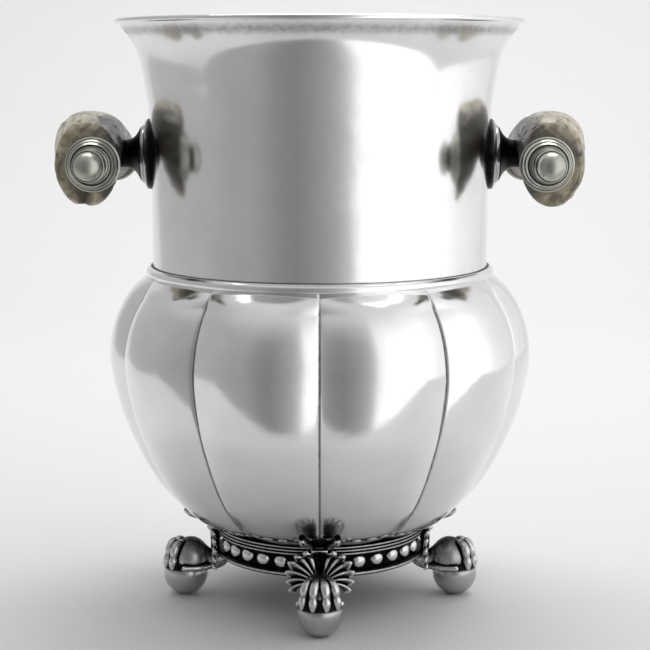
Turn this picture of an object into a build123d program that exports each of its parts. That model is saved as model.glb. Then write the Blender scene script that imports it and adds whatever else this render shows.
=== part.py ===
"""Silver champagne bucket: a flared collar on a melon-lobed bowl, a beaded foot ring,
four claw-and-ball feet and two horn grips on trumpet stems.

Millimetres. +Z is up, the origin is on the ground under the middle of the bucket, the front
is -Y and the handles are on the X axis.
"""
from build123d import *
import os
from math import cos, radians, sin

# Body
HEIGHT = 257.3
COLLAR_R = 73.5
COLLAR_WALL = 1.6
RIM_CENTRE_R = 87.6
RIM_WIRE_R = 1.1
SEAM_Z = 147.0
SEAM_WIRE_R = 2.4
SEAM_WIRE_OUT = 0.7
SEAM_WIRE_RAISE = 0.9
BOWL_R = 93.2
BOWL_WALL = 2.0
LOBES = 10
VALLEY_DEPTH = 0.055
VALLEY_FADE = 12.0
# Outlines as (radius, height); the flare runs up the collar's outer face, the bowl's up its lobe crests
COLLAR_STRAIGHT_TOP = 186.0
COLLAR_FLARE = [(COLLAR_R, COLLAR_STRAIGHT_TOP), (74.1, 213), (75.9, 228.5), (79.4, 244)]
BOWL_OUTLINE = [
    (36, 31.5), (46.6, 34.6), (58.8, 40.2), (66.5, 46.8), (72.7, 53.9), (78.6, 63.3), (84, 74.5),
    (89.2, 88), (BOWL_R, 108.5), (91.8, 122.5), (87.6, 133.5), (82, 141.5), (75.6, SEAM_Z),
]

# Foot ring
RING_INNER_R = 40.5
BAND_R = 44.0
MOULDING_R = 46.7
RING_BOTTOM = 20.6
BAND_BOTTOM = 22.9
BAND_TOP = 30.1
RING_TOP = 35.5
BEAD_R = 3.7
BEAD_DEPTH = 1.4
BEADS_PER_QUADRANT = 5
BEAD_PITCH = 11.5

# Feet
FOOT_ANGLES = {"front": -90, "right": 0, "back": 90, "left": 180}
BALL_R = 9.9
BALL_HEIGHT = 9.75
BALL_OUT = 61.0
PAW_BOTTOM = 10.7
PAW_HALF_SIZE = (11.2, 9.2, 13.6)
PAW_CENTRE_Z = 12.2
ARM_WIDTH = 12.0
ARM_OUTLINE = [
    (42, RING_BOTTOM), (45, 10.2), (52.5, 10.2), (60, 18), (61, 25.6), (56, 23.5), (52.5, 21.5),
    (50.2, RING_BOTTOM),
]
LEAF_THICKNESS = 2.9
LEAF_OUTLINE = [
    (-3.5, 14.5), (-9, 19.5), (-13, 26), (-11, 32), (-5, 36.5), (5, 36.5), (11, 32), (13, 26),
    (9, 19.5), (3.5, 14.5),
]
SCROLL_R = 3.2
SCROLL_FOOT = (49.8, 4.5, 33.0)
SCROLL_TIP = (58.0, 6.8, 38.0)

# Handles, as built on the +X side
STEM_Z = 199.1
ROSE_R = 15.4
ROSE_OUT = 76.2
BASE_R = 12.9
BASE_OUT = 78.5
STEM_OUTLINE = [(BASE_OUT, 11.6), (79.8, 9.2), (81.6, 7.2), (84.5, 6.1)]
STEM_NECK_R = 6.1
STEM_END = 92.0
SCREW_R = 2.5
SCREW_END = 90.0
SCREW_HEAD_R = 4.6
SCREW_HEAD_HEIGHT = 2.2
WASHER_R = 8.0
WASHER_IN = 69.9
# Grip sections as (distance along Y, centre X, centre Z, half width, half height), thinner behind
GRIP_SECTIONS = [
    (-38, 97.4, 196.0, 13.6, 18.6), (-20, 98.4, 201.0, 15.4, 16.6), (0, 99.0, 205.8, 16.8, 12.4),
    (20, 98.2, 202.6, 14.8, 13.4), (38, 96.6, 198.2, 12.6, 13.6),
]
CAP_X = 94.8
CAP_Z = 196.5
PLATE_R = 11.6
RING_R = 9.4
NECK_R = 5.8
BUTTON_R = 7.0
DOME_R = 6.2
PLATE_END = 42.0
RING_END = 46.0
NECK_END = 51.0
RIM_END = 54.0
BUTTON_END = 59.0
STUD_R = 2.0
STUD_START = 26.0


def disc(axis_start, length, radius, normal):
    """A cylinder that grows from axis_start along normal."""
    return extrude(Plane(axis_start, z_dir=normal) * Circle(radius), amount=length)


def turned(outline, axis_origin, axis_x, axis_y):
    """Revolve an outline of (distance along the axis, radius) points, closed down to the axis."""
    plane = Plane(axis_origin, x_dir=axis_x, z_dir=Vector(*axis_x).cross(Vector(*axis_y)))
    ends = [(outline[0][0], 0)] + list(outline) + [(outline[-1][0], 0)]
    face = plane * make_face(Polyline(*ends, close=True))
    return revolve(face, Axis(axis_origin, axis_x))


def inner_points(curve, wall):
    """Points set in from a smooth curve by the wall, square to it."""
    steps = [index / 12 for index in range(13)]
    return [curve @ t + (curve % t).rotate(Axis.Z, 90) * wall for t in steps]


def collar_faces():
    """The collar's outer and inner face outlines: a straight cylinder that flares to the rim."""
    start = (COLLAR_R, SEAM_Z)
    outer = Spline(*COLLAR_FLARE, (RIM_CENTRE_R, HEIGHT - RIM_WIRE_R), tangents=[(0, 1), (1, 0.85)])
    inner = Spline(*inner_points(outer, COLLAR_WALL), tangents=[(0, 1), (1, 0.85)])
    inner_start = (COLLAR_R - COLLAR_WALL, SEAM_Z)
    return [Line(start, outer @ 0), outer], [Line(inner_start, inner @ 0), inner]


def collar():
    outer, inner = collar_faces()
    ends = [Line(outer[0] @ 0, inner[0] @ 0), Line(outer[1] @ 1, inner[1] @ 1)]
    return revolve(Plane.XZ * make_face(outer + inner + ends), Axis.Z)


def filled(face_outline):
    """The solid inside one face of the collar."""
    bottom, top = face_outline[0] @ 0, face_outline[1] @ 1
    closing = Polyline((top.X, top.Y), (0, top.Y), (0, bottom.Y), (bottom.X, bottom.Y))
    return revolve(Plane.XZ * make_face(face_outline + [closing]), Axis.Z)


def rim_wire():
    return Pos(0, 0, HEIGHT - RIM_WIRE_R) * Torus(RIM_CENTRE_R, RIM_WIRE_R)


def lobed_section(radius, height):
    """A closed outline of lobes that meet in sharp valleys, which fade out under the seam.

    There are crests on the X axis and valleys on the Y axis.
    """
    step = 360 / LOBES
    fade = min(1, (SEAM_Z + VALLEY_FADE / 3 - height) / VALLEY_FADE)
    valley_r = radius * (1 - VALLEY_DEPTH * max(fade, 0))

    def point(r, angle):
        return (r * cos(radians(angle)), r * sin(radians(angle)), height)

    arcs = []
    for lobe in range(LOBES):
        angle = lobe * step
        ends = point(valley_r, angle - step / 2), point(valley_r, angle + step / 2)
        arcs.append(ThreePointArc(ends[0], point(radius, angle), ends[1]))
    return Face(Wire(arcs))


def bowl_core(points):
    return loft([lobed_section(radius, height) for radius, height in points])


def bowl(core):
    inner = [(point.X, point.Y) for point in inner_points(Spline(*BOWL_OUTLINE), BOWL_WALL)]
    mouth = inner[-1][0] - BOWL_WALL, SEAM_Z + BOWL_WALL
    return core - bowl_core(inner + [mouth])


def seam_moulding(core):
    """The half-round wire that hides the joint, let into the bowl's shoulder."""
    wire = Pos(0, 0, SEAM_Z + SEAM_WIRE_RAISE) * Torus(COLLAR_R + SEAM_WIRE_OUT, SEAM_WIRE_R)
    return wire - Pos(0, 0, SEAM_Z) * Cylinder(COLLAR_R, 4 * SEAM_WIRE_R) - core


def ring(bottom, top, inner_r, outer_r):
    height = top - bottom
    middle = Pos(0, 0, bottom + height / 2)
    return middle * (Cylinder(outer_r, height) - Cylinder(inner_r, height))


def base_band():
    return ring(BAND_BOTTOM, BAND_TOP, RING_INNER_R, BAND_R)


def band_moulding(bottom, top, reeds):
    """A ring with half-round reeds round its outside."""
    reed_r = (min(top, RING_TOP - 1.4) - bottom) / reeds / 2
    body = ring(bottom, top, RING_INNER_R, MOULDING_R - reed_r)
    for index in range(reeds):
        height = bottom + reed_r * (2 * index + 1)
        body += Pos(0, 0, height) * Torus(MOULDING_R - reed_r, reed_r)
    return body


def beads():
    """Domed beads on the band, five in each quadrant between two feet."""
    sphere = Pos(BAND_R - BEAD_DEPTH, 0, (BAND_BOTTOM + BAND_TOP) / 2) * Sphere(BEAD_R)
    slab = ring(BAND_BOTTOM, BAND_TOP, BAND_R, BAND_R + BEAD_R)
    bead = sphere & slab
    solids = []
    for quadrant in range(4):
        for index in range(BEADS_PER_QUADRANT):
            offset = (index - (BEADS_PER_QUADRANT - 1) / 2) * BEAD_PITCH
            solids.append(Rot(0, 0, 45 + 90 * quadrant + offset) * bead)
    return Compound(solids)


def leaf_bracket():
    """A fan leaf bent round the ring, with two scrolls that lie against the bowl."""
    fan = extrude(Plane.YZ * make_face(Polyline(*LEAF_OUTLINE, close=True)), amount=80)
    leaf = fan & ring(0, 60, MOULDING_R, MOULDING_R + LEAF_THICKNESS)
    for side in (-1, 1):
        foot = Vector(SCROLL_FOOT[0], side * SCROLL_FOOT[1], SCROLL_FOOT[2])
        tip = Vector(SCROLL_TIP[0], side * SCROLL_TIP[1], SCROLL_TIP[2])
        leaf += disc(foot, (tip - foot).length, SCROLL_R, tip - foot)
        leaf += Pos(*tip) * Sphere(SCROLL_R)
        leaf += Pos(*foot) * Sphere(SCROLL_R)
    return leaf - Cylinder(MOULDING_R, 200)


def ball():
    sphere = Pos(BALL_OUT, 0, BALL_HEIGHT) * Sphere(BALL_R)
    ground = Pos(BALL_OUT, 0, -BALL_R) * Box(4 * BALL_R, 4 * BALL_R, 2 * BALL_R)
    return sphere - ground


def claw():
    """The paw over the ball, and the arm that comes down from the foot ring."""
    half_x, half_y, half_z = PAW_HALF_SIZE
    paw = Pos(BALL_OUT, 0, PAW_CENTRE_Z) * scale(Sphere(1), by=PAW_HALF_SIZE)
    below = Pos(BALL_OUT, 0, PAW_BOTTOM - 20) * Box(4 * half_x, 4 * half_y, 40)
    outline = Plane.XZ * make_face(Polyline(*ARM_OUTLINE, close=True))
    arm = extrude(outline, amount=ARM_WIDTH / 2, both=True)
    return (paw - below) + arm - ball()


def foot_parts(core):
    parts = {}
    leaf = leaf_bracket()
    paw = claw() - leaf
    for name, angle in FOOT_ANGLES.items():
        parts[f"leaf_bracket_{name}"] = Rot(0, 0, angle) * leaf - core
        parts[f"claw_{name}"] = Rot(0, 0, angle) * paw
        parts[f"ball_{name}"] = Rot(0, 0, angle) * ball()
    return parts


def grip():
    sections = []
    for y, x, z, half_width, half_height in GRIP_SECTIONS:
        plane = Plane((x, y, z), x_dir=(1, 0, 0), z_dir=(0, 1, 0))
        sections.append(plane * Ellipse(half_width, half_height))
    return loft(sections)


def end_cap(side):
    """The plate, ring and button on one end of a grip; side is -1 in front and 1 behind."""
    normal = (0, side, 0)

    def piece(start, end, radius):
        return disc((CAP_X, side * start, CAP_Z), end - start, radius, normal)

    grip_end = GRIP_SECTIONS[-1][0]
    stud = piece(STUD_START, NECK_END, STUD_R)
    plate = piece(grip_end, PLATE_END, PLATE_R) - stud
    collar_ring = piece(PLATE_END, RING_END, RING_R) - stud
    rim = piece(NECK_END, RIM_END, BUTTON_R)
    dome = Pos(CAP_X, side * RIM_END, CAP_Z) * scale(Sphere(1), by=(DOME_R, BUTTON_END - RIM_END, DOME_R))
    button = piece(RING_END, NECK_END, NECK_R) + rim + dome + stud
    return {"plate": plate, "ring": collar_ring, "button": button}


def handle():
    """The pieces of the +X handle, from the washer inside the collar to the grip's end caps."""
    x_axis = (1, 0, 0)
    outer, inner = collar_faces()
    screw = disc((WASHER_IN, 0, STEM_Z), SCREW_END - WASHER_IN, SCREW_R, x_axis)
    washer = disc((WASHER_IN, 0, STEM_Z), 5, WASHER_R, x_axis) & filled(inner)
    rose = disc((70, 0, STEM_Z), ROSE_OUT - 70, ROSE_R, x_axis) - filled(outer)
    base = disc((ROSE_OUT, 0, STEM_Z), BASE_OUT - ROSE_OUT, BASE_R, x_axis)
    outline = STEM_OUTLINE + [(STEM_END, STEM_NECK_R)]
    stem = turned([(x, r) for x, r in outline], (0, 0, STEM_Z), x_axis, (0, 0, 1))
    head = Pos(WASHER_IN, 0, STEM_Z) * scale(Sphere(1), by=(SCREW_HEAD_HEIGHT, SCREW_HEAD_R, SCREW_HEAD_R))
    head = head - disc((WASHER_IN, 0, STEM_Z), 5, WASHER_R, x_axis)
    body = grip() - stem
    parts = {
        "washer": washer - screw,
        "rose": rose - screw,
        "stem_base": base - screw,
        "stem": stem - screw,
        "screw": head + screw,
    }
    for label, side in (("front", -1), ("back", 1)):
        for name, shape in end_cap(side).items():
            parts[f"{name}_{label}"] = shape
        body = body - parts[f"button_{label}"]
    parts["grip"] = body
    return parts


def build():
    core = bowl_core(BOWL_OUTLINE)
    shell = collar()
    wire = rim_wire()
    right = handle()
    screws = right["screw"] + mirror(right["screw"], about=Plane.YZ)
    parts = {
        "collar": shell - screws - wire,
        "rim_wire": wire,
        "bowl": bowl(core),
        "seam_moulding": seam_moulding(core),
        "base_band": base_band(),
        "band_top_moulding": band_moulding(BAND_TOP, RING_TOP, 3) - core,
        "band_bottom_moulding": band_moulding(RING_BOTTOM, BAND_BOTTOM, 1),
        "beads": beads(),
    }
    parts.update(foot_parts(core))
    for name, shape in right.items():
        parts[f"handle_right_{name}"] = shape
        parts[f"handle_left_{name}"] = mirror(shape, about=Plane.YZ)
    return parts


os.makedirs("parts", exist_ok=True)
for node, solid in build().items():
    export_step(solid, f"parts/{node}.step")
    print(node, len(solid.solids()), round(solid.volume, 1))
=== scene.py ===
"""Looks of the silver champagne bucket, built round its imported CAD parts.

Metres, in the CAD's own frame: +Z is up, the front is -Y and the handles are on the X axis.
"""

import math

import bmesh
import bpy
from mathutils import Matrix, Vector, noise


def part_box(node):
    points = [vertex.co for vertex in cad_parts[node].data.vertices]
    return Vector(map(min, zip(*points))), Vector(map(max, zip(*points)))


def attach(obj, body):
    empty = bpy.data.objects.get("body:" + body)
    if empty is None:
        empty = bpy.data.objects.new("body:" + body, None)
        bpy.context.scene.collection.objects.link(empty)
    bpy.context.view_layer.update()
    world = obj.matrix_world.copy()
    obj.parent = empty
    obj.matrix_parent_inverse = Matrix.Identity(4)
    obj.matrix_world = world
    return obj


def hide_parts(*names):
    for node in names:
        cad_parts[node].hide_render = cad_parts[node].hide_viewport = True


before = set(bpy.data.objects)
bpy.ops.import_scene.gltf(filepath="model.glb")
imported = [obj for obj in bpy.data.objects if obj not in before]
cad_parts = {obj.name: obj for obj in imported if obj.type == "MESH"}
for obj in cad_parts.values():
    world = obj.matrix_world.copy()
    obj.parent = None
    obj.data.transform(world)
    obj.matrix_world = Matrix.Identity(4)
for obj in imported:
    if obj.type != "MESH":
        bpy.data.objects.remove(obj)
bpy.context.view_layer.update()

MM = 0.001
BODY = "root"
FEET = {"front": -90, "right": 0, "back": 90, "left": 180}

# Heights and radii that the CAD nodes give
SEAM_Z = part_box("collar")[0].z
RIM_LOW, RIM_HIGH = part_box("rim_wire")
RING_LOW, RING_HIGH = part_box("band_bottom_moulding")
BAND_LOW, BAND_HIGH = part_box("base_band")
RIM_WIRE_R = (RIM_HIGH.z - RIM_LOW.z) / 2
RIM_CENTRE_R = RIM_HIGH.x - RIM_WIRE_R
MOULDING_R = RING_HIGH.x
BAND_R = BAND_HIGH.x
BALL_LOW, BALL_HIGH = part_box("ball_right")
BALL_R = (BALL_HIGH.x - BALL_LOW.x) / 2
BALL_CENTRE = Vector(((BALL_LOW.x + BALL_HIGH.x) / 2, 0, BALL_HIGH.z - BALL_R))

# Sizes that no box gives, the same as the CAD's. The outlines are (radius, height) in millimetres.
COLLAR_R = 73.5 * MM
COLLAR_WALL = 1.6 * MM
BOWL_WALL = 2.0 * MM
LOBES = 10
VALLEY_DEPTH = 0.055
VALLEY_FADE = 12 * MM
RING_DEPTH = 3.4 * MM
REEDS_HEIGHT = 4.2 * MM
BEADS_PER_QUADRANT = 5
BEAD_PITCH = 11.5
COLLAR_OUTLINE = [(73.5, 147), (73.5, 168), (73.6, 190), (74.1, 213), (75.9, 228.5), (79.4, 244)]
BOWL_OUTLINE = [
    (36, 31.5), (46.6, 34.6), (58.8, 40.2), (66.5, 46.8), (72.7, 53.9), (78.6, 63.3), (84, 74.5),
    (89.2, 88), (93.2, 108.5), (91.8, 122.5), (87.6, 133.5), (82, 141.5), (75.6, 147),
]

# Steps round a turned piece, from the widest to the smallest
BODY_STEPS = 320
RING_STEPS = 240
CAP_STEPS = 96
BALL_STEPS = 64


# ---------------------------------------------------------------- curves and meshes

def smooth_line(points, steps):
    """Points along a smooth line through the given ones, with the given steps to each span."""
    knots = [Vector(p) for p in points]
    knots = [2 * knots[0] - knots[1]] + knots + [2 * knots[-1] - knots[-2]]
    line = []
    for before, start, end, after in zip(knots, knots[1:], knots[2:], knots[3:]):
        span = (end - start).length
        leave = (end - before) * (span / max((end - before).length, 1e-9))
        arrive = (after - start) * (span / max((after - start).length, 1e-9))
        for step in range(steps):
            t = step / steps
            line.append(
                start * (2 * t**3 - 3 * t**2 + 1) + leave * (t**3 - 2 * t**2 + t)
                + end * (3 * t**2 - 2 * t**3) + arrive * (t**3 - t**2)
            )
    line.append(knots[-2])
    return line


def normals_of(line):
    """Unit normals on the left of a flat line, which is its inside where it runs upward."""
    found = []
    for index in range(len(line)):
        ahead = line[min(index + 1, len(line) - 1)]
        behind = line[max(index - 1, 0)]
        along = ahead - behind
        found.append(Vector((-along.y, along.x)).normalized())
    return found


def shell_outline(line, wall):
    """A closed outline: up the outside, and back down set in by the wall."""
    inside = [point + normal * wall for point, normal in zip(line, normals_of(line))]
    return list(line) + inside[::-1]


def mesh_from(name, points, faces, tarnish_and_shade=None, crease_angle=35):
    """An object of that mesh, shaded smooth, with a value of tarnish and painted shade for each point."""
    mesh = bpy.data.meshes.new(name)
    mesh.from_pydata([tuple(p) for p in points], [], faces)
    bm = bmesh.new()
    bm.from_mesh(mesh)
    bmesh.ops.recalc_face_normals(bm, faces=bm.faces)
    bm.to_mesh(mesh)
    bm.free()
    mesh.shade_smooth()
    mesh.set_sharp_from_angle(angle=math.radians(crease_angle))
    layer = mesh.attributes.new("tarnish_and_shade", "FLOAT", "POINT")
    layer.data.foreach_set("value", tarnish_and_shade or [0.0] * len(mesh.vertices))
    obj = bpy.data.objects.new(name, mesh)
    bpy.context.scene.collection.objects.link(obj)
    return obj


def revolve(name, outline, segments, closed=True, wobble=None):
    """A turned piece round +Z. The outline's points are (radius, height) or (radius, height, tarnish and
    painted shade).
    """
    points, tarnish_and_shade, rings = [], [], []
    for entry in outline:
        radius, height = entry[0], entry[1]
        stain_and_shade = entry[2] if len(entry) > 2 else 0.0
        count = segments if radius > 1e-7 else 1
        rings.append((len(points), count))
        for step in range(count):
            angle = 2 * math.pi * step / segments
            r = radius + (wobble(angle, height) if wobble else 0)
            points.append((r * math.cos(angle), r * math.sin(angle), height))
            tarnish_and_shade.append(stain_and_shade)
    faces = []
    pairs = list(zip(rings, rings[1:] + rings[:1])) if closed else list(zip(rings, rings[1:]))
    for (low, low_count), (high, high_count) in pairs:
        if low_count == 1 and high_count == 1:
            continue
        for step in range(segments):
            after = (step + 1) % segments
            corners = [low + step % low_count, low + after % low_count,
                       high + after % high_count, high + step % high_count]
            faces.append(list(dict.fromkeys(corners)))
    return mesh_from(name, points, faces, tarnish_and_shade)


def place(obj, matrix):
    """Moves a mesh's points by the matrix, so that its object stays at the origin."""
    obj.data.transform(matrix)
    obj.data.update()
    return obj


def copy_of(obj, name):
    """A copy of a piece with a mesh of its own."""
    twin = bpy.data.objects.new(name, obj.data.copy())
    bpy.context.scene.collection.objects.link(twin)
    return twin


def dress(obj, material, slot, *nodes):
    """Gives a piece its material, and makes it stand for CAD nodes. The slot is not used."""
    obj.data.materials.clear()
    obj.data.materials.append(material)
    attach(obj, BODY)
    if nodes:
        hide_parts(*nodes)
    return obj


def waves(angle, height, size, seed):
    """Slow hand-worked unevenness of a round wall."""
    spot = Vector((math.cos(angle) * 2.1, math.sin(angle) * 2.1, height * 28 + seed))
    return noise.noise(spot) * size


# ---------------------------------------------------------------- materials

def nodes_of(name):
    """A new material's node tree and its shader."""
    material = bpy.data.materials.new(name)
    material.use_nodes = True
    tree = material.node_tree
    return material, tree, tree.nodes["Principled BSDF"]


def add(tree, kind, inputs=None, **settings):
    """A node of that kind. Inputs maps its sockets to plain values or to other sockets."""
    node = tree.nodes.new(kind)
    for key, value in settings.items():
        setattr(node, key, value)
    for key, value in (inputs or {}).items():
        if isinstance(value, bpy.types.NodeSocket):
            tree.links.new(value, node.inputs[key])
        else:
            node.inputs[key].default_value = value
    return node


def ramp(tree, factor, stops, interpolation="LINEAR"):
    """A colour ramp's colour. The stops are (position, grey) or (position, (r, g, b))."""
    node = add(tree, "ShaderNodeValToRGB", {"Fac": factor})
    node.color_ramp.interpolation = interpolation
    elements = node.color_ramp.elements
    while len(elements) < len(stops):
        elements.new(1.0)
    for element, (position, colour) in zip(elements, stops):
        element.position = position
        element.color = (*colour, 1) if isinstance(colour, tuple) else (colour, colour, colour, 1)
    return node.outputs["Color"]


def mixed(tree, factor, first, second, blend="MIX"):
    """Two colours mixed by a factor."""
    node = add(tree, "ShaderNodeMix", data_type="RGBA", blend_type=blend)
    for socket, value in ((node.inputs[0], factor), (node.inputs[6], first), (node.inputs[7], second)):
        if isinstance(value, bpy.types.NodeSocket):
            tree.links.new(value, socket)
        else:
            socket.default_value = value
    return node.outputs[2]


def maths(tree, operation, first, second=0.0, third=0.0):
    """One Math node's value."""
    node = add(tree, "ShaderNodeMath", {0: first, 1: second, 2: third}, operation=operation)
    return node.outputs[0]


TARNISH_GLOSS = (0.42, 0.42, 0.42, 1)


def silver(name, bright, darkened, roughness, dents=0.3):
    """Silver that is dark where its attribute of tarnish and painted shade is 1, and bright where it is 0."""
    material, tree, shader = nodes_of(name)
    place_on = add(tree, "ShaderNodeTexCoord").outputs["Object"]
    stain_and_shade = add(tree, "ShaderNodeAttribute", attribute_name="tarnish_and_shade").outputs["Fac"]
    cloud = add(tree, "ShaderNodeTexNoise", {"Vector": place_on, "Scale": 38, "Detail": 5,
                                             "Roughness": 0.62}).outputs["Fac"]
    speck = add(tree, "ShaderNodeTexNoise", {"Vector": place_on, "Scale": 420, "Detail": 3}).outputs["Fac"]
    # Tarnish and painted shade from the attribute, broken up by fine specks
    dark_mix = maths(tree, "MULTIPLY_ADD", maths(tree, "SUBTRACT", speck, 0.5), 0.25, stain_and_shade)
    factor = ramp(tree, dark_mix, [(0.12, 0.0), (0.85, 1.0)], "EASE")
    clouded = ramp(tree, cloud, [(0.3, tuple(0.9 * c for c in bright)), (0.7, bright)])
    colour = mixed(tree, factor, clouded, (*darkened, 1))
    tree.links.new(colour, shader.inputs["Base Color"])
    shader.inputs["Metallic"].default_value = 1.0
    gloss = ramp(tree, cloud, [(0.25, roughness * 1.25), (0.75, roughness * 0.8)])
    tree.links.new(mixed(tree, factor, gloss, TARNISH_GLOSS), shader.inputs["Roughness"])
    wide = add(tree, "ShaderNodeTexNoise", {"Vector": place_on, "Scale": 60, "Detail": 2}).outputs["Fac"]
    fine = add(tree, "ShaderNodeTexNoise", {"Vector": place_on, "Scale": 900, "Detail": 2}).outputs["Fac"]
    dented = add(tree, "ShaderNodeBump", {"Height": wide, "Strength": dents, "Distance": 0.4 * MM})
    grained = add(tree, "ShaderNodeBump", {"Height": fine, "Strength": 0.08, "Distance": 0.05 * MM,
                                           "Normal": dented.outputs["Normal"]})
    tree.links.new(grained.outputs["Normal"], shader.inputs["Normal"])
    return material


def horn():
    """Polished horn: beige, with dark streaks along the grip, grey-brown pits and creases, and painted shade
    on the side that faces the collar.
    """
    material, tree, shader = nodes_of("horn")
    place_on = add(tree, "ShaderNodeTexCoord").outputs["Object"]
    stretched = add(tree, "ShaderNodeMapping", {"Vector": place_on, "Scale": (1.0, 0.28, 1.0)}).outputs[0]
    pits_and_shade = add(tree, "ShaderNodeAttribute", attribute_name="tarnish_and_shade").outputs["Fac"]
    streak = add(tree, "ShaderNodeTexNoise", {"Vector": stretched, "Scale": 170, "Detail": 6,
                                              "Roughness": 0.65, "Distortion": 0.8}).outputs["Fac"]
    cloud = add(tree, "ShaderNodeTexNoise", {"Vector": place_on, "Scale": 75, "Detail": 4}).outputs["Fac"]
    body = ramp(tree, streak, [(0.30, (0.10, 0.085, 0.06)), (0.42, (0.27, 0.235, 0.17)),
                               (0.52, (0.46, 0.41, 0.31)), (0.70, (0.66, 0.60, 0.48))])
    warm = ramp(tree, cloud, [(0.35, (0.66, 0.66, 0.60)), (0.62, (1.0, 0.97, 0.92))])
    base = mixed(tree, 1.0, body, warm, "MULTIPLY")
    colour = mixed(tree, pits_and_shade, base, (0.035, 0.03, 0.022, 1))
    tree.links.new(colour, shader.inputs["Base Color"])
    tree.links.new(ramp(tree, streak, [(0.3, 0.55), (0.7, 0.30)]), shader.inputs["Roughness"])
    shader.inputs["Coat Weight"].default_value = 0.35
    shader.inputs["Coat Roughness"].default_value = 0.18
    shader.inputs["Subsurface Weight"].default_value = 0.08
    shader.inputs["Subsurface Scale"].default_value = 2 * MM
    bump = add(tree, "ShaderNodeBump", {"Height": streak, "Strength": 0.5, "Distance": 0.5 * MM})
    tree.links.new(bump.outputs["Normal"], shader.inputs["Normal"])
    return material


def steel():
    """Plain turned steel of the screws and washers inside the collar."""
    material, tree, shader = nodes_of("fastener_steel")
    place_on = add(tree, "ShaderNodeTexCoord").outputs["Object"]
    cloud = add(tree, "ShaderNodeTexNoise", {"Vector": place_on, "Scale": 300, "Detail": 3}).outputs["Fac"]
    tree.links.new(ramp(tree, cloud, [(0.3, 0.42), (0.7, 0.60)]), shader.inputs["Base Color"])
    tree.links.new(ramp(tree, cloud, [(0.3, 0.45), (0.7, 0.30)]), shader.inputs["Roughness"])
    shader.inputs["Metallic"].default_value = 1.0
    return material


# The body, the beads, the caps, the balls, the stems, and the foot castings with their ring
SILVER = silver("silver", (0.88, 0.88, 0.885), (0.03, 0.03, 0.03), 0.15)
BRIGHT = silver("bright_silver", (0.72, 0.72, 0.71), (0.012, 0.012, 0.012), 0.2, 0.2)
CAP = silver("cap_silver", (0.47, 0.47, 0.42), (0.03, 0.03, 0.026), 0.32, 0.2)
WORN = silver("worn_silver", (0.50, 0.50, 0.495), (0.01, 0.01, 0.01), 0.24, 0.45)
DARK = silver("dark_silver", (0.42, 0.42, 0.43), (0.006, 0.006, 0.007), 0.18, 0.1)
OXIDISED = silver("oxidised_silver", (0.70, 0.70, 0.70), (0.004, 0.004, 0.004), 0.2, 0.15)
HORN = horn()
STEEL = steel()


# ---------------------------------------------------------------- collar, rim and seam

def collar():
    """The upper wall, which flares to the rim, with a painted shadow line just above the seam wire, and a
    dark band under the rim that is tarnish and painted reflection.
    """
    points = [(r * MM, z * MM) for r, z in COLLAR_OUTLINE]
    points.append((RIM_CENTRE_R, RIM_HIGH.z - RIM_WIRE_R))
    line = smooth_line(points, 14)
    outline = []
    for p in line:
        to_seam, to_rim = p.y - SEAM_Z - 3.2 * MM, RIM_HIGH.z - p.y
        # Painted shadow line just above the seam wire; under the rim, a band of tarnish that also paints a
        # dark reflection
        seam_shadow = max(0, 1 - to_seam / (0.9 * MM))
        rim_tarnish_and_reflection = 0.45 * math.exp(-(((to_rim - 5.5 * MM) / (3.0 * MM)) ** 2))
        outline.append((p.x, p.y, min(1, max(seam_shadow, rim_tarnish_and_reflection))))
    outline += [(p.x, p.y) for p in shell_outline(line, COLLAR_WALL)[len(line):]]
    obj = revolve("collar_wall", outline, BODY_STEPS, wobble=lambda a, z: waves(a, z, 0.16 * MM, 3))
    return dress(obj, SILVER, "silver", "collar")


def rim_wire():
    """The round wire on the lip."""
    outline, steps = [], 24
    for step in range(steps):
        turn = 2 * math.pi * step / steps
        outline.append((RIM_CENTRE_R + RIM_WIRE_R * math.cos(turn),
                        RIM_HIGH.z - RIM_WIRE_R + RIM_WIRE_R * math.sin(turn)))
    return dress(revolve("rim_bead", outline, BODY_STEPS), SILVER, "silver", "rim_wire")


def seam_wire():
    """The half-round wire over the joint, with painted shade in the crevices above and below."""
    low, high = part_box("seam_moulding")
    centre_r, centre_z = COLLAR_R + 0.7 * MM, (low.z + high.z) / 2 + 0.2 * MM
    half = high.x - centre_r
    outline = []
    # Painted shade on the wire's top and bottom edges and on its inner faces
    for step in range(25):
        turn = math.radians(-90 + 180 * step / 24)
        edge = abs(step - 12) / 12
        outline.append((centre_r + half * math.cos(turn), centre_z + half * 0.98 * math.sin(turn),
                        max(0, edge * 5 - 4)))
    outline.append((COLLAR_R - 0.3 * MM, centre_z + half, 1.0))
    outline.append((COLLAR_R - 0.3 * MM, centre_z - half, 1.0))
    return dress(revolve("seam_wire", outline, BODY_STEPS), SILVER, "silver", "seam_moulding")


# ---------------------------------------------------------------- bowl

def lobed_radius(crest_r, height, angle):
    """The wall's radius at that angle, where the lobe's crest has the given radius."""
    half = math.pi / LOBES
    fade = max(0, min(1, (SEAM_Z + VALLEY_FADE / 3 - height) / VALLEY_FADE))
    valley_r = crest_r * (1 - VALLEY_DEPTH * fade)
    turn = (angle + half) % (2 * half) - half
    width, rise = valley_r * math.sin(half), crest_r - valley_r * math.cos(half)
    arc_r = (width**2 + rise**2) / (2 * rise)
    centre = crest_r - arc_r
    radius = centre * math.cos(turn) + math.sqrt(arc_r**2 - (centre * math.sin(turn)) ** 2)
    gap = (half - abs(turn)) * valley_r
    groove = 0.45 * MM * fade * math.exp(-((gap / (0.6 * MM)) ** 2))
    return radius - groove, gap, fade


def lobe_angles(steps):
    """Angles round the bowl, closer together beside each valley."""
    half = math.pi / LOBES
    angles = []
    for lobe in range(LOBES):
        for step in range(steps):
            u = 2 * step / steps - 1
            turn = math.copysign(1 - (1 - abs(u)) ** 1.9, u) if u else 0
            angles.append(2 * half * lobe + half * turn)
    return angles


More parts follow.
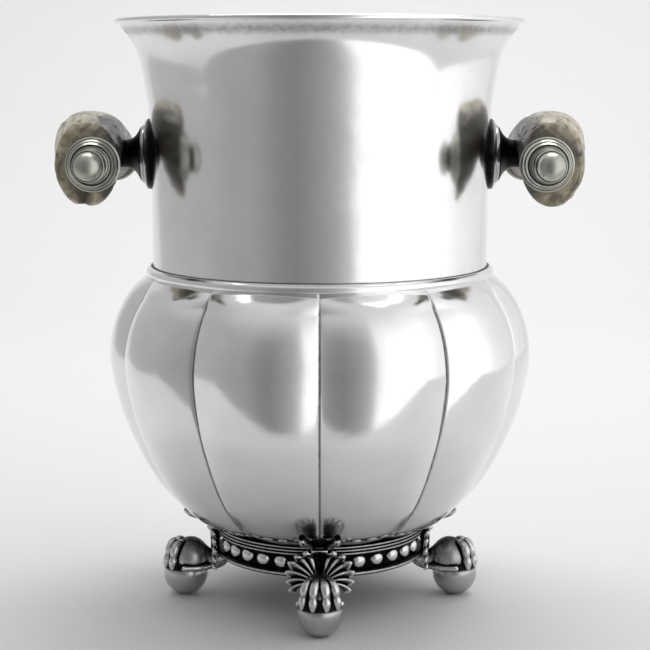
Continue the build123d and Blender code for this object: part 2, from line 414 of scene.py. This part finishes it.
def bowl():
    """The melon-lobed body: an outer skin with chased valleys, and an inner skin."""
    line = smooth_line([(r * MM, z * MM) for r, z in BOWL_OUTLINE], 9)
    inner = [p + n * BOWL_WALL for p, n in zip(line, normals_of(line))]
    angles = lobe_angles(36)
    points, tarnish_and_shade = [], []
    rows = [(p, True) for p in line] + [(p, False) for p in inner[::-1]]
    for point, outside in rows:
        for angle in angles:
            radius, gap, fade = lobed_radius(point.x, point.y, angle)
            radius += waves(angle, point.y, 0.22 * MM, 11) - 0.2 * MM
            points.append((radius * math.cos(angle), radius * math.sin(angle), point.y))
            # Painted shade: a dark line along each valley, over the groove's own shading
            stain_and_shade = 0.62 * fade * math.exp(-((gap / (0.7 * MM)) ** 2)) if outside else 0.0
            # Painted shade: darker towards the bottom, where the bowl sits in the ring
            bottom_shade = max(0, 1 - (point.y - line[0].y) / (6 * MM)) if outside else 0
            tarnish_and_shade.append(min(1, stain_and_shade + bottom_shade))
    count, faces = len(angles), []
    for row in range(len(rows) - 1):
        for step in range(count):
            after = (step + 1) % count
            faces.append((row * count + step, row * count + after,
                          (row + 1) * count + after, (row + 1) * count + step))
    for row in (0, len(rows) - 1):
        faces.append([row * count + step for step in range(count)])
    obj = mesh_from("lobed_bowl", points, faces, tarnish_and_shade, 50)
    return dress(obj, SILVER, "silver", "bowl")


# ---------------------------------------------------------------- foot ring

def reeded_ring(name, low, high, outer_r, reeds, node):
    """A moulding of half-round reeds, with painted shade on their flanks and between them."""
    reed_r = (high - low) / reeds / 2
    inner_r = BAND_R - RING_DEPTH
    outline, steps = [(inner_r, low, 1.0)], 8
    for reed in range(reeds):
        centre = low + reed_r * (2 * reed + 1)
        for step in range(steps + 1):
            turn = math.radians(-90 + 180 * step / steps)
            # Painted shade on each reed's flanks and in the grooves; only the crest stays light
            stain_and_shade = (1.0, 1.0, 0.9, 0.6, 0.3)[min(step, steps - step)]
            radius = outer_r - reed_r + reed_r * math.cos(turn)
            outline.append((radius, centre + reed_r * math.sin(turn), stain_and_shade))
    outline.append((inner_r, high, 1.0))
    return dress(revolve(name, outline, RING_STEPS), OXIDISED, "oxidised_silver", node)


def base_band():
    """The plain channel behind the beads, black with tarnish."""
    inner_r = BAND_R - RING_DEPTH
    corners = ((inner_r, BAND_LOW.z), (BAND_R, BAND_LOW.z), (BAND_R, BAND_HIGH.z), (inner_r, BAND_HIGH.z))
    outline = [(radius, height, 1) for radius, height in corners]
    return dress(revolve("oxidised_band", outline, RING_STEPS), OXIDISED, "oxidised_silver", "base_band")


def beads():
    """Domed beads, each a little uneven, with painted shade round the foot."""
    low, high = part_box("beads")
    centre_z, bead_r = (low.z + high.z) / 2, (high.z - low.z) / 2
    points, faces, tarnish_and_shade = [], [], []
    around, up = 24, 9
    for quadrant in range(4):
        for index in range(BEADS_PER_QUADRANT):
            angle = math.radians(45 + 90 * quadrant + (index - (BEADS_PER_QUADRANT - 1) / 2) * BEAD_PITCH)
            out = Vector((math.cos(angle), math.sin(angle), 0))
            side = Vector((-out.y, out.x, 0))
            above = Vector((0, 0, 1))
            size = bead_r * (0.97 + 0.05 * noise.noise(out * 9))
            start = len(points)
            for row in range(up):
                rise = math.radians(90 * row / up)
                for step in range(around):
                    turn = 2 * math.pi * step / around
                    spread = size * math.cos(rise)
                    outward = out * (BAND_R - 0.2 * MM + 2.5 * MM * math.sin(rise))
                    sideways = side * (spread * math.cos(turn))
                    points.append(outward + sideways + above * (centre_z + spread * math.sin(turn)))
                    # Painted shade round the foot of each bead, where it meets the band
                    tarnish_and_shade.append((0.9, 0.35, 0.12)[row] if row < 3 else 0.0)
            points.append(out * (BAND_R + 2.3 * MM) + above * centre_z)
            tarnish_and_shade.append(0.0)
            for row in range(up - 1):
                for step in range(around):
                    after = (step + 1) % around
                    base = start + row * around
                    faces.append((base + step, base + after, base + around + after, base + around + step))
            tip, last = start + up * around, start + (up - 1) * around
            faces += [(last + step, last + (step + 1) % around, tip) for step in range(around)]
            faces.append([start + step for step in range(around)])
    return dress(mesh_from("bead_row", points, faces, tarnish_and_shade, 60), BRIGHT, "bright_silver", "beads")


# ---------------------------------------------------------------- feet

BIG_BLOB = 7


def cavity(obj, rounds=2):
    """How hollow the surface is at each point: below 0 on the high spots, above 0 in the grooves."""
    mesh = obj.data
    neighbours = [[] for _ in mesh.vertices]
    for edge in mesh.edges:
        a, b = edge.vertices
        neighbours[a].append(b)
        neighbours[b].append(a)
    hollow = []
    for vertex, near in zip(mesh.vertices, neighbours):
        middle = sum((mesh.vertices[n].co for n in near), Vector()) / max(len(near), 1)
        reach = sum((mesh.vertices[n].co - vertex.co).length for n in near) / max(len(near), 1)
        hollow.append((middle - vertex.co).dot(vertex.normal) / max(reach, 1e-9))
    for _ in range(rounds):
        hollow = [(h + sum(hollow[n] for n in near)) / (1 + len(near)) for h, near in zip(hollow, neighbours)]
    return hollow


def stain_hollows(obj, offset, gain, more):
    """Tarnishes a piece in its hollows, and darkens it more where the function says so."""
    values = []
    for hollow, vertex in zip(cavity(obj), obj.data.vertices):
        values.append(max(0, min(1, offset + gain * hollow + more(vertex.co / MM, vertex.normal))))
    obj.data.attributes["tarnish_and_shade"].data.foreach_set("value", values)


def blob(parts, centre, radii):
    """Adds an ellipsoid to a mesh that will be fused. A big one is finer, so that no facets show."""
    matrix = Matrix.Translation(Vector(centre) * MM) @ Matrix.Diagonal((*(Vector(radii) * MM), 1))
    fineness = 5 if max(radii) > BIG_BLOB else 3
    bmesh.ops.create_icosphere(parts, subdivisions=fineness, radius=1, matrix=matrix)


def limb(parts, points, steps=8):
    """Adds a tapering limb of balls through points of (x, y, z, radius), in millimetres."""
    for spot in smooth_line(points, steps):
        blob(parts, spot[:3], (spot[3],) * 3)


def fused(name, parts, voxel):
    """One skin over all the balls, as if modelled in wax."""
    mesh = bpy.data.meshes.new(name)
    parts.to_mesh(mesh)
    parts.free()
    rough = bpy.data.objects.new(name, mesh)
    bpy.context.scene.collection.objects.link(rough)
    remesh = rough.modifiers.new("remesh", "REMESH")
    remesh.mode = "VOXEL"
    remesh.voxel_size = voxel
    soften = rough.modifiers.new("soften", "SMOOTH")
    soften.iterations = 1
    soften.factor = 0.5
    bpy.context.view_layer.update()
    baked = bpy.data.meshes.new_from_object(rough.evaluated_get(bpy.context.evaluated_depsgraph_get()))
    bpy.data.objects.remove(rough)
    obj = bpy.data.objects.new(name, baked)
    bpy.context.scene.collection.objects.link(obj)
    baked.shade_smooth()
    baked.attributes.new("tarnish_and_shade", "FLOAT", "POINT")
    return obj


# A toe's path over the ball, as (distance out from near the ball's axis, height, radius) in mm
TOE_PATH = [
    (4.6, 24.3, 1.6), (7.0, 23.2, 1.9), (8.4, 20.8, 1.9), (8.9, 18.4, 1.5), (9.4, 16.2, 1.9),
    (9.7, 13.8, 1.2),
]
TOE_TURNS = (-50, -17, 17, 50)
# The arm from the ring, and the rolled lower edge on one side, as (out, across, height, radius) in mm.
# The arm's distance is from the middle of the bucket, and the edge's is from the ball's axis.
ARM_PATH = [(45.8, 0, 16.6, 4.4), (48.5, 0, 15.8, 4.6), (52.0, 0, 16.4, 5.0), (56.5, 0, 18.2, 6.4)]
EDGE_PATH = [(-11.5, 2.6, 13.8, 1.9), (-7.5, 6.6, 13.6, 1.6), (0, 9.0, 13.8, 1.3)]
PAW_BOTTOM = 12.0 * MM


def claw():
    """A smooth paw on a short arm, with a rolled lower edge and four toes that grip the ball."""
    parts = bmesh.new()
    ball_x = BALL_CENTRE.x / MM
    limb(parts, ARM_PATH)
    blob(parts, (ball_x - 2.4, 0, 15.8), (8.8, 8.7, 10.5))
    for turn in TOE_TURNS:
        side, out = math.sin(math.radians(turn)), math.cos(math.radians(turn))
        limb(parts, [(ball_x - 0.8 + d * out, d * side, z, r) for d, z, r in TOE_PATH])
    for side in (-1, 1):
        limb(parts, [(ball_x + out, side * across, z, r) for out, across, z, r in EDGE_PATH])
    return fused("paw", parts, 0.36 * MM)


def trim_below(obj, height):
    """Cuts a piece off flat at that height."""
    bm = bmesh.new()
    bm.from_mesh(obj.data)
    cut = bmesh.ops.bisect_plane(bm, geom=bm.verts[:] + bm.edges[:] + bm.faces[:],
                                 plane_co=(0, 0, height), plane_no=(0, 0, -1), clear_outer=True)
    edges = [e for e in cut["geom_cut"] if isinstance(e, bmesh.types.BMEdge)]
    bmesh.ops.holes_fill(bm, edges=edges)
    bm.to_mesh(obj.data)
    bm.free()


def leaf_surface(across, up, proud, line):
    """The point, in metres, that far across, up the line of a side view, and proud of it (all mm)."""
    travel = max(0, min(up, len(line) - 1.001))
    index = int(travel)
    here = line[index].lerp(line[index + 1], travel - index)
    along = (line[index + 1] - line[index]).normalized()
    out = Vector((along.y, -along.x))
    spot = here + out * proud
    angle = across / here.x
    return Vector((spot.x * math.cos(angle), spot.x * math.sin(angle), spot.y)) * MM


def even_line(points, pitch):
    """A polyline's points, spaced evenly."""
    line, left = [Vector(points[0])], pitch
    for start, end in zip(points, points[1:]):
        start, end = Vector(start), Vector(end)
        span = (end - start).length
        while left <= span:
            line.append(start.lerp(end, left / span))
            left += pitch
        left -= span
    return line


# What the leaves lie on in side view, as (radius, height): the fan leans out above the ring, and
# the tips follow the ring and then the bowl
FAN_LINE = even_line([(47.2, 12), (47.2, 30.5), (48.8, 33.6), (55.5, 38.0), (60.0, 40.8)], 1.0)
TIP_LINE = even_line([(47.2, 12), (47.2, 33.0), (49.5, 35.7), (60.5, 41.7)], 1.0)
LEAF_FOOT = 2.2
LEAF_SHEET = 1.5
# One tip's path on its line, as (up, across, proud, radius)
TIP_PATH = [
    (22.5, 3.2, 0.4, 1.3), (26.5, 4.4, 0.6, 1.5), (30.5, 6.0, 0.8, 1.7), (34, 7.2, 0.9, 1.8),
    (36.3, 7.4, 1.0, 1.2),
]


def leaf():
    """An acanthus fan on the ring: six curved ribs on each side of a sunk teardrop."""
    columns, rows, ribs, heart = 260, 30, 6, 0.10
    spread = math.radians(98)
    points, faces = [], []
    for column in range(columns + 1):
        u = 2 * column / columns - 1
        rib = ribs * max(0, (abs(u) - heart) / (1 - heart))
        ridge = abs(math.sin(math.pi * rib)) ** 1.1
        length = (20.0 - 7.5 * abs(u) ** 1.3) * (0.86 + 0.14 * (ridge if abs(u) > heart else 0.8))
        for row in range(rows + 1):
            t = row / rows
            reach = 1.2 + (length - 1.2) * t
            turn = u * spread * (0.72 + 0.38 * t**1.5)
            across, up = reach * math.sin(turn), LEAF_FOOT + reach * math.cos(turn) + 3.0
            raised = 1.9 * ridge * (0.35 + 0.65 * math.sin(math.pi * min(t * 0.85 + 0.1, 1)))
            sunk = 0.6 * math.sin(math.pi * t) * max(0, 1 - abs(u) / heart)
            curl = 2.0 * max(0, (t - 0.72) / 0.28) ** 1.6
            tuck = 1.1 * max(0, (t - 0.93) / 0.07) ** 2
            proud = 0.5 + raised - sunk + curl - tuck
            points.append(leaf_surface(across, up, proud, FAN_LINE))
            points.append(leaf_surface(across, up, proud - LEAF_SHEET, FAN_LINE))
    stride = 2 * (rows + 1)
    for column in range(columns):
        for row in range(rows):
            base = column * stride + 2 * row
            for face in (0, 1):
                faces.append([base + face + step for step in (0, stride, stride + 2, 2)])
        for base in (column * stride, column * stride + 2 * rows):
            faces.append((base, base + stride, base + stride + 1, base + 1))
    for base in (0, columns * stride):
        for row in range(rows):
            faces.append([base + 2 * row + step for step in (0, 2, 3, 1)])
    return mesh_from("fan", points, faces)


def tendrils(parts):
    """Two leaf tips that run up from the fan and lie on the bowl."""
    for side in (-1, 1):
        spots = []
        for up, across, proud, radius in TIP_PATH:
            spots.append((*(leaf_surface(side * across, up, proud, TIP_LINE) / MM), radius))
        limb(parts, spots)


def leaf_bracket():
    """The fan and its two tips, as one casting."""
    fan = leaf()
    bm = bmesh.new()
    bm.from_mesh(fan.data)
    tendrils(bm)
    bpy.data.objects.remove(fan)
    return fused("leaf", bm, 0.3 * MM)


def leaf_dark_and_shade(spot, normal):
    """Extra darkening in the sunk teardrop up the middle of the fan, and painted shade on the upper side of
    the tips.
    """
    up = (spot.z - LEAF_FOOT - 16) / 15
    if 0 < up < 1 and abs(spot.y) < 2.4 * math.sin(math.pi * up**0.8):
        return 0.8
    # Painted shade on the tips' upward faces
    return 1.5 * max(0, normal.z) if spot.z > 34 else 0.0


def paw_painted_shade(spot, normal):
    """Painted shade on top of the paw and along its lower edge, where it meets the ball."""
    return 0.6 * max(0, normal.z - 0.3) + 0.5 * max(0, min(1, (13.6 - spot.z) / 1.5))


def feet():
    """Each foot's leaf, paw and ball, turned to its place round the ring."""
    first_leaf, first_claw = leaf_bracket(), claw()
    trim_below(first_claw, PAW_BOTTOM)
    stain_hollows(first_leaf, 0.60, 6.0, leaf_dark_and_shade)
    stain_hollows(first_claw, 0.52, 6.5, paw_painted_shade)
    for name, angle in FEET.items():
        turn = Matrix.Rotation(math.radians(angle), 4, "Z")
        leaf_piece = place(copy_of(first_leaf, f"acanthus_leaf_{name}"), turn)
        dress(leaf_piece, OXIDISED, "oxidised_silver", f"leaf_bracket_{name}")
        paw = place(copy_of(first_claw, f"paw_{name}"), turn)
        dress(paw, OXIDISED, "oxidised_silver", f"claw_{name}")
        # The record has no slot for worn silver, so the balls use the bright one
        dress(place(foot_ball(name), turn), WORN, "bright_silver", f"ball_{name}")
    for first in (first_leaf, first_claw):
        bpy.data.objects.remove(first)


def foot_ball(name):
    """A ball with a small worn flat underneath, with painted shade where the paw meets it and a painted
    contact shadow towards the ground.
    """
    outline, steps = [], 40
    for step in range(steps + 1):
        rise = math.radians(-90 + 180 * step / steps)
        height = max(BALL_CENTRE.z + BALL_R * math.sin(rise), 0)
        # Painted shade under the paw, and a painted contact shadow near the ground
        paw_shade = min(1, (height - BALL_CENTRE.z - 2.0 * MM) / (1.5 * MM))
        ground_shadow = 0.45 - height / (8 * MM)
        radius = BALL_R * math.cos(rise) if 0 < step < steps else 0
        outline.append((radius, height, max(0, paw_shade, ground_shadow)))
    ball = revolve(f"foot_ball_{name}", outline, BALL_STEPS, closed=False)
    return place(ball, Matrix.Translation((BALL_CENTRE.x, 0, 0)))


# ---------------------------------------------------------------- handles

AXES = {"right": 1, "left": -1}
# The grip's sections from front to back, as (y, x, z, half width, half height) in millimetres
GRIP_SECTIONS = [
    (-38, 97.4, 196.0, 13.6, 18.6), (-20, 99.0, 201.2, 14.6, 16.4), (0, 100.0, 206.6, 15.2, 11.6),
    (20, 98.8, 202.8, 14.2, 13.2), (38, 96.6, 198.2, 12.6, 13.6),
]


def name_of(side):
    """The handle's name on that side of the bucket."""
    return "right" if side > 0 else "left"


def grip(side):
    """A curved piece of horn, uneven, with long creases and pits, rounded over at its ends."""
    sections = smooth_line(GRIP_SECTIONS, 24)
    around, points, tarnish_and_shade = 120, [], []
    half_length = GRIP_SECTIONS[-1][0]
    for y, x, z, half_width, half_height in sections:
        to_end = half_length - abs(y)
        shrink = 1 - 0.10 * max(0, 1 - to_end / 2.2) ** 2
        for step in range(around):
            turn = 2 * math.pi * step / around
            out = Vector((math.cos(turn) * half_width, 0, math.sin(turn) * half_height))
            spot = Vector((x, y, z)) + out * shrink
            grain = Vector((spot.x * 0.16, spot.y * 0.035, spot.z * 0.16)) + Vector((side * 7, 0, 0))
            crease = max(0, noise.noise(grain) - 0.12)
            pit = max(0, noise.noise(spot * 0.33 + Vector((0, 0, side * 5))) - 0.38)
            dip = 1.6 * crease + 2.2 * pit + 0.35 * (1 + noise.noise(spot * 0.09))
            # Painted shade on the grip's inner side, which faces the collar
            shade = max(0, -0.25 - math.cos(turn)) * 2.2
            spot -= out.normalized() * dip
            points.append((side * spot.x * MM, spot.y * MM, spot.z * MM))
            tarnish_and_shade.append(min(1, 2.6 * crease + 4.0 * pit + 0.93 * min(shade, 1)))
    faces, rows = [], len(sections)
    for row in range(rows - 1):
        for step in range(around):
            after = (step + 1) % around
            faces.append((row * around + step, row * around + after,
                          (row + 1) * around + after, (row + 1) * around + step))
    for row in (0, rows - 1):
        faces.append([row * around + step for step in range(around)])
    return mesh_from(f"horn_grip_{name_of(side)}", points, faces, tarnish_and_shade, 40)


def turned_part(name, outline, origin, axis):
    """A turned piece whose outline of (radius, distance, tarnish and painted shade) in mm runs along an axis.
    """
    obj = revolve(name, [(r * MM, d * MM, t) for r, d, t in outline], CAP_STEPS, closed=False)
    turn = Vector(axis).to_track_quat("Z", "Y").to_matrix().to_4x4()
    return place(obj, Matrix.Translation(Vector(origin)) @ turn)


# The rose starts just inside the collar's wall. The flare is (radius, distance from the disc) in mm.
ROSE_START = 71.5
STEM_FLARE = [(11.6, 0), (9.2, 1.3), (7.2, 3.1), (6.1, 6.0), (6.1, 10)]


def stem(side):
    """The stack on the collar: rose, second disc and trumpet stem, as (radius, distance, tarnish and painted
    shade).
    """
    name = name_of(side)
    rose_low, rose_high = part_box(f"handle_{name}_rose")
    base_low, base_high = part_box(f"handle_{name}_stem_base")
    centre_z = (rose_low.z + rose_high.z) / 2
    origin, axis = (0, 0, centre_z), (side, 0, 0)
    rose_r, rose_out = (rose_high.z - rose_low.z) / 2 / MM, max(abs(rose_low.x), abs(rose_high.x)) / MM
    base_r, base_out = (base_high.z - base_low.z) / 2 / MM, max(abs(base_low.x), abs(base_high.x)) / MM
    # Dark all over, with each disc's rim left bright as a painted highlight
    rose = [
        (0, ROSE_START, 1), (rose_r, ROSE_START, 1), (rose_r, rose_out - 1.2, 0.7),
        (rose_r - 0.4, rose_out - 0.5, 0.0), (rose_r - 1.2, rose_out, 0.3),
        (rose_r - 2.0, rose_out - 0.3, 1.0), (0, rose_out - 0.3, 1),
    ]
    base = [
        (0, rose_out - 0.3, 1), (base_r, rose_out - 0.3, 1), (base_r, rose_out + 0.6, 0.1),
        (base_r - 0.5, base_out - 0.7, 0.0), (base_r - 1.1, base_out - 0.5, 0.7),
        (base_r - 1.4, base_out, 1.0), (0, base_out, 1),
    ]
    flare = smooth_line([(radius, base_out + along) for radius, along in STEM_FLARE], 8)
    stem_end = base_out + STEM_FLARE[-1][1]
    trumpet = [(0, base_out, 1)] + [(p.x, p.y, 1.0) for p in flare] + [(0, stem_end, 1)]
    stack = (("rose", rose, "rose"), ("disc", base, "stem_base"), ("trumpet", trumpet, "stem"))
    for label, outline, node in stack:
        obj = turned_part(f"{label}_{name}", outline, origin, axis)
        dress(obj, DARK, "dark_silver", f"handle_{name}_{node}")


def end_cap(side, end):
    """The bezel plate, stepped ring and domed button on one end of a grip."""
    name, label = name_of(side), "front" if end < 0 else "back"
    low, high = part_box(f"handle_{name}_plate_{label}")
    origin = ((low.x + high.x) / 2, 0, (low.z + high.z) / 2)
    axis = (0, end, 0)
    plate_r = (high.z - low.z) / 2 / MM
    start, finish = sorted((abs(low.y) / MM, abs(high.y) / MM))
    ring_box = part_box(f"handle_{name}_ring_{label}")
    button_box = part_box(f"handle_{name}_button_{label}")
    ring_r = (ring_box[1].z - ring_box[0].z) / 2 / MM
    ring_end = max(abs(ring_box[0].y), abs(ring_box[1].y)) / MM
    button_r = (button_box[1].z - button_box[0].z) / 2 / MM
    button_end = max(abs(button_box[0].y), abs(button_box[1].y)) / MM
    # Painted shade in the grooves between the steps and on the faces where the pieces meet
    plate = [
        (0, start - 1.0, 0.3), (plate_r - 0.6, start - 1.0, 0.3), (plate_r, start + 0.3, 0.5),
        (plate_r, start + 1.1, 0.0), (plate_r - 0.7, start + 1.6, 0.2), (plate_r - 0.9, start + 1.4, 1.0),
        (ring_r + 1.2, finish - 1.6, 0.25), (ring_r + 0.9, finish - 0.7, 0.0),
        (ring_r + 0.3, finish - 0.2, 0.4), (ring_r + 0.1, finish - 0.2, 1), (0, finish - 0.2, 1),
    ]
    ring = [
        (0, finish - 0.4, 1), (ring_r, finish - 0.4, 1), (ring_r, finish + 1.0, 0.0),
        (ring_r - 0.7, finish + 1.9, 0.0), (ring_r - 1.1, finish + 1.7, 1.0),
        (ring_r - 1.9, finish + 2.0, 0.2), (ring_r - 2.3, ring_end - 0.5, 0.0),
        (ring_r - 2.9, ring_end, 0.6), (0, ring_end, 1),
    ]
    button = [
        (0, ring_end - 0.3, 1), (button_r - 1.2, ring_end - 0.3, 1), (button_r - 2.0, ring_end + 2.2, 0.9),
        (button_r - 1.2, ring_end + 4.4, 0.8), (button_r - 0.1, ring_end + 5.2, 0.2),
        (button_r, ring_end + 6.2, 0.0), (button_r - 0.4, ring_end + 7.4, 0.1),
        (button_r - 0.9, ring_end + 7.6, 1.0),
    ]
    dome_start, dome_r, steps = ring_end + 8.0, button_r - 1.0, 12
    for step in range(steps + 1):
        rise = math.radians(90 * step / steps)
        height = dome_start + (button_end - ring_end - 8.0) * math.sin(rise)
        button.append((dome_r * math.cos(rise), height, 0.5 if step == 0 else 0.0))
    for piece, outline in (("plate", plate), ("ring", ring), ("button", button)):
        obj = turned_part(f"cap_{piece}_{name}_{label}", outline, origin, axis)
        dress(obj, CAP, "cap_silver", f"handle_{name}_{piece}_{label}")


def handles():
    """Both handles, with the looks of the screws and washers that the CAD gives."""
    for side in AXES.values():
        stem(side)
        dress(grip(side), HORN, "horn", f"handle_{name_of(side)}_grip")
        for end in (-1, 1):
            end_cap(side, end)
        for node in ("screw", "washer"):
            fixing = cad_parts[f"handle_{name_of(side)}_{node}"]
            fixing.data.materials.clear()
            fixing.data.materials.append(STEEL)


# ---------------------------------------------------------------- studio

# Brightness of the studio by compass direction in degrees, 0 towards -Y and 90 towards +X
STUDIO_WALL = [
    (-180, 0.75), (-167, 0.60), (-134, 0.50), (-102, 0.45), (-85, 0.43), (-60, 0.37), (-46, 0.36),
    (-36, 0.31), (-26, 0.25), (-14, 0.23), (-4, 0.28), (4, 0.33), (12, 0.42), (19, 0.58), (26, 1.15),
    (42, 1.35), (85, 1.35), (97, 1.15), (111, 1.0), (128, 0.90), (152, 0.85), (180, 0.75),
]


def studio_world():
    """A soft studio all round, as a smooth change of light with direction: bright from the
    right, mid grey on the left, and darker in the room in front."""
    world = bpy.data.worlds.new("studio")
    bpy.context.scene.world = world
    world.use_nodes = True
    tree = world.node_tree
    background = tree.nodes["Background"]
    direction = add(tree, "ShaderNodeTexCoord").outputs["Generated"]
    east, north, up = add(tree, "ShaderNodeSeparateXYZ", {"Vector": direction}).outputs
    turn = maths(tree, "ARCTAN2", east, maths(tree, "MULTIPLY", north, -1.0))
    around = maths(tree, "MULTIPLY_ADD", turn, 1 / (2 * math.pi), 0.5)
    wall = ramp(tree, around, [(0.5 + degrees / 360, grey) for degrees, grey in STUDIO_WALL])
    above = ramp(tree, up, [(0.0, 0.0), (0.55, 0.1), (0.95, 1.0)])
    tree.links.new(mixed(tree, above, wall, (0.70, 0.70, 0.70, 1)), background.inputs["Color"])
    down = maths(tree, "MULTIPLY", up, -1.0)
    tree.links.new(ramp(tree, down, [(0.0, 1.0), (0.12, 1.04)]), background.inputs["Strength"])


def softbox(name, location, target, size, power):
    """A rectangular area light that faces the target."""
    lamp = bpy.data.lights.new(name, "AREA")
    lamp.shape = "RECTANGLE"
    lamp.size, lamp.size_y = size
    lamp.energy = power
    obj = bpy.data.objects.new(name, lamp)
    obj.location = location
    obj.rotation_euler = (Vector(target) - Vector(location)).to_track_quat("-Z", "Y").to_euler()
    bpy.context.scene.collection.objects.link(obj)


def floor():
    """A plain pale floor that sweeps up behind the bucket."""
    half_width, front, bend, height, curve = 0.9, -0.2, 0.85, 1.3, 0.45
    profile, steps = [(front, 0), (bend, 0)], 16
    for step in range(1, steps + 1):
        turn = math.radians(90 * step / steps)
        profile.append((bend + curve * math.sin(turn), curve * (1 - math.cos(turn))))
    profile.append((bend + curve, height))
    points = [(side * half_width, y, z) for y, z in profile for side in (-1, 1)]
    faces = [(2 * k, 2 * k + 1, 2 * k + 3, 2 * k + 2) for k in range(len(profile) - 1)]
    obj = mesh_from("floor", points, faces)
    material, _, shader = nodes_of("floor")
    shader.inputs["Base Color"].default_value = (0.68, 0.68, 0.68, 1)
    shader.inputs["Roughness"].default_value = 0.75
    obj.data.materials.append(material)


def camera():
    """Just below the rim's level, looking a little down, from three bucket heights away."""
    lens = bpy.data.cameras.new("camera")
    lens.lens = 97.5
    lens.sensor_width = 36
    obj = bpy.data.objects.new("camera", lens)
    obj.location = (2.2 * MM, -775 * MM, 238 * MM)
    obj.rotation_euler = (math.radians(90 - 8.43), 0, 0)
    bpy.context.scene.collection.objects.link(obj)
    bpy.context.scene.camera = obj


def studio():
    """The light, the floor and the camera."""
    studio_world()
    floor()
    softbox("overhead", (0.2, 0.45, 1.3), (0, 0.5, 0), (1.1, 0.8), 5)
    softbox("backdrop", (0, 0.35, 1.5), (0, 1.3, 0.35), (1.4, 0.4), 11)
    camera()
    bpy.context.scene.view_settings.view_transform = "Standard"


# ---------------------------------------------------------------- the whole bucket

collar()
rim_wire()
seam_wire()
bowl()
reeded_ring("reeded_wire", BAND_HIGH.z, BAND_HIGH.z + REEDS_HEIGHT, MOULDING_R, 3, "band_top_moulding")
reeded_ring("lower_wire", RING_LOW.z, RING_HIGH.z, MOULDING_R, 1, "band_bottom_moulding")
base_band()
beads()
feet()
handles()
studio()
